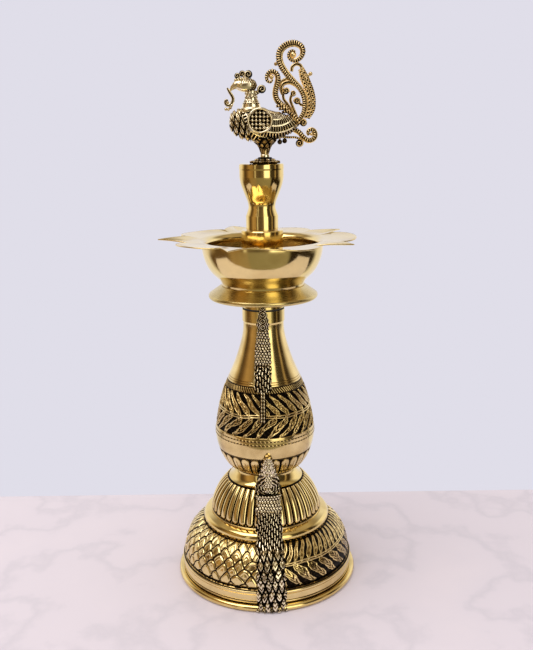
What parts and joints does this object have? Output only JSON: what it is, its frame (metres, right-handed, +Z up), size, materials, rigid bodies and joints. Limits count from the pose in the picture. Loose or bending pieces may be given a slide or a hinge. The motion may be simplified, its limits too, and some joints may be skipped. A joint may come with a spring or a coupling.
{
  "type": "standing oil lamp",
  "caption": "Tall brass oil lamp: bell foot with fluted dome, pear-shaped stem, round oil bowl with a flower-shaped wick flange, and a peacock finial on a goblet.",
  "frame": {"origin": "centre of the foot ring on the floor", "axes": "+Z up the lamp's axis; -Y towards the riveted peacock castings; +X to the finial peacock's tail"},
  "size_m": [0.1669, 0.166, 0.4571],
  "materials": {
    "polished_brass": "polished",
    "satin_brass": "satin",
    "plain_brass": "machined",
    "antique_brass": "cast with dark patina",
    "black_rubber": "matte"
  },
  "bodies": {
    "base": {"foot_ring": "polished_brass", "base_bell": "polished_brass", "shoulder_ring": "polished_brass", "fluted_dome": "polished_brass", "base_cup": "polished_brass", "base_bush": "plain_brass", "base_washer": "plain_brass", "base_nut": "plain_brass", "base_rivet": "plain_brass", "base_peacock_tail": "antique_brass", "base_peacock_bird": "antique_brass"},
    "stem_spacer": {"stem_washer": "plain_brass"},
    "stem": {"stem_pear": "polished_brass", "stem_stud": "plain_brass", "stem_collar": "polished_brass", "stem_peacock_tail": "antique_brass", "stem_peacock_bird": "antique_brass"},
    "bowl_spacer": {"bowl_washer": "black_rubber"},
    "bowl": {"bowl_foot": "polished_brass", "drip_saucer": "satin_brass", "oil_bowl": "polished_brass", "bowl_hub": "polished_brass"},
    "finial_spacer": {"finial_washer": "plain_brass"},
    "finial": {"finial_column": "polished_brass", "finial_nut": "plain_brass", "finial_goblet": "polished_brass", "finial_cap": "polished_brass", "lotus_rosette": "antique_brass", "peacock_screw": "plain_brass", "peacock_pillar": "antique_brass", "peacock_body": "antique_brass", "peacock_neck": "antique_brass", "peacock_head": "antique_brass", "peacock_crest": "antique_brass", "wing_left": "antique_brass", "wing_right": "antique_brass", "tail_tall_plume": "antique_brass", "tail_short_plume": "antique_brass", "tail_crook": "antique_brass", "tail_lace": "antique_brass", "tail_filigree": "antique_brass", "tail_low_plume": "antique_brass", "tail_low_curls": "antique_brass", "tail_drops": "antique_brass", "nape_curl": "antique_brass", "beak_scroll": "antique_brass"}
  },
  "joints": [
    {"name": "stem_rise", "type": "slide", "parent": "base", "child": "stem_spacer", "axis": [0, 0, 1], "range_m": [0, 0.009]},
    {"name": "stem_turn", "type": "hinge", "parent": "stem_spacer", "child": "stem", "pos_m": [0, 0, 0.0988], "axis": [0, 0, 1], "range_deg": [0, 2160]},
    {"name": "bowl_rise", "type": "slide", "parent": "stem", "child": "bowl_spacer", "axis": [0, 0, 1], "range_m": [0, 0.009]},
    {"name": "bowl_turn", "type": "hinge", "parent": "bowl_spacer", "child": "bowl", "pos_m": [0, 0, 0.2421], "axis": [0, 0, 1], "range_deg": [0, 2160]},
    {"name": "finial_rise", "type": "slide", "parent": "bowl", "child": "finial_spacer", "axis": [0, 0, 1], "range_m": [0, 0.009]},
    {"name": "finial_turn", "type": "hinge", "parent": "finial_spacer", "child": "finial", "pos_m": [0, 0, 0.308], "axis": [0, 0, 1], "range_deg": [0, 2160]}
  ],
  "couplings": [
    {"joint": "stem_rise", "follows": "stem_turn", "m_per_rad": 0.0002387},
    {"joint": "bowl_rise", "follows": "bowl_turn", "m_per_rad": 0.0002387},
    {"joint": "finial_rise", "follows": "finial_turn", "m_per_rad": 0.0002387}
  ]
}
